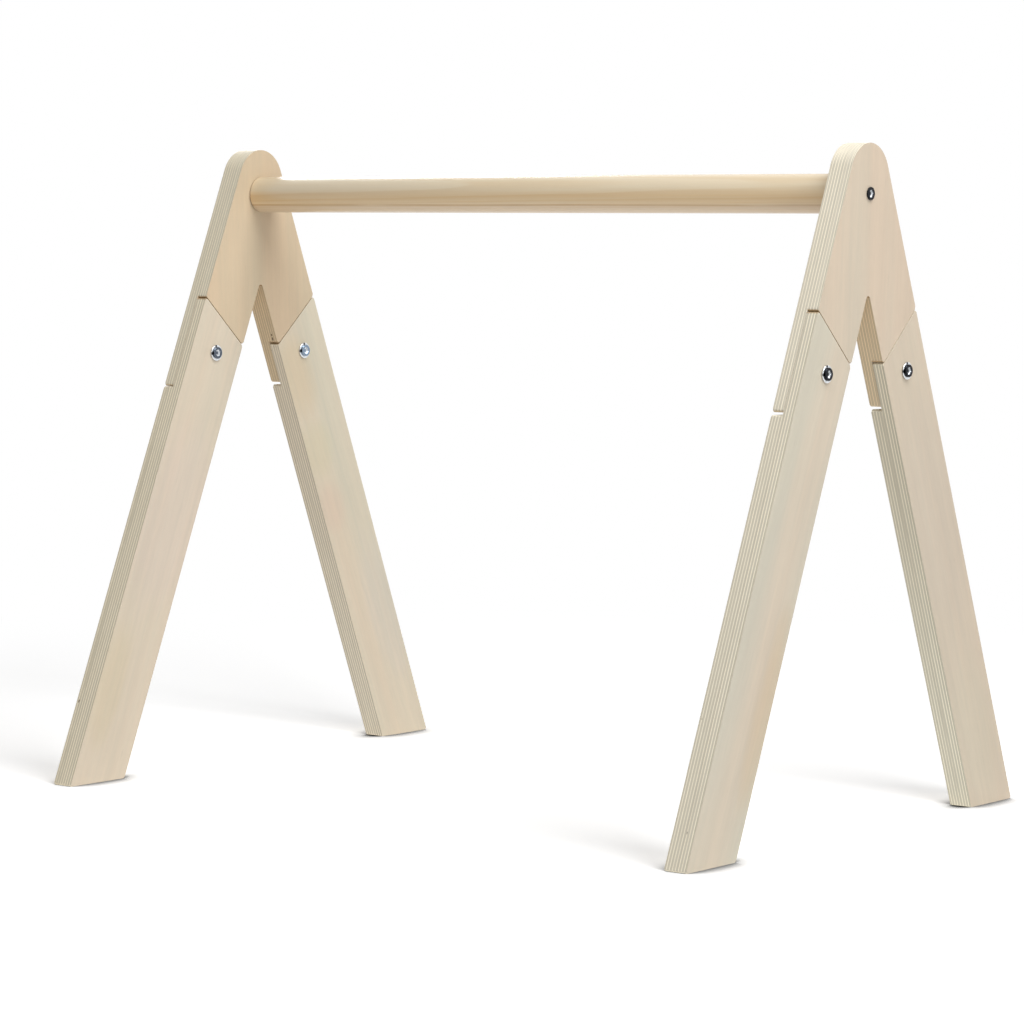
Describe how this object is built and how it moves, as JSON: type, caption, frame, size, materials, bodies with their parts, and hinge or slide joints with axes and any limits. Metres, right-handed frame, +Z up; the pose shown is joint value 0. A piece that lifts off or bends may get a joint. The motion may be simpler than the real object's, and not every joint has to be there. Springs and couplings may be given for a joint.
{
  "type": "baby play gym",
  "caption": "Freestanding wooden baby play gym: plywood A-frames with half-lapped, bolted legs, joined at the top by a round wooden bar that toys hang from.",
  "frame": {"origin": "on the floor at the middle of the gym, below the middle of the bar", "axes": "+X along the bar from the left frame to the right frame, +Y from the front feet to the back feet, +Z up"},
  "size_m": [0.5931, 0.4248, 0.4855],
  "materials": {
    "head_plywood": "clear matt lacquer over sanded birch-type plywood, ply layers showing on the edges",
    "leg_plywood": "clear matt lacquer over sanded birch-type plywood, ply layers showing on the edges",
    "bar_wood": "clear satin lacquer over turned pine, grain along the bar",
    "zinc_steel": "bright zinc plating"
  },
  "bodies": {
    "root": {"head_plate_left": "head_plywood", "head_plate_right": "head_plywood", "leg_front_left": "leg_plywood", "leg_front_right": "leg_plywood", "leg_back_left": "leg_plywood", "leg_back_right": "leg_plywood", "crossbar": "bar_wood", "bar_bolt_left": "zinc_steel", "bar_insert_left": "zinc_steel", "bar_bolt_right": "zinc_steel", "bar_insert_right": "zinc_steel", "leg_bolt_front_left": "zinc_steel", "leg_bolt_front_right": "zinc_steel", "leg_bolt_back_left": "zinc_steel", "leg_bolt_back_right": "zinc_steel", "leg_washer_front_left": "zinc_steel", "leg_washer_front_right": "zinc_steel", "leg_washer_back_left": "zinc_steel", "leg_washer_back_right": "zinc_steel", "leg_insert_front_left": "zinc_steel", "leg_insert_front_right": "zinc_steel", "leg_insert_back_left": "zinc_steel", "leg_insert_back_right": "zinc_steel"}
  },
  "joints": []
}
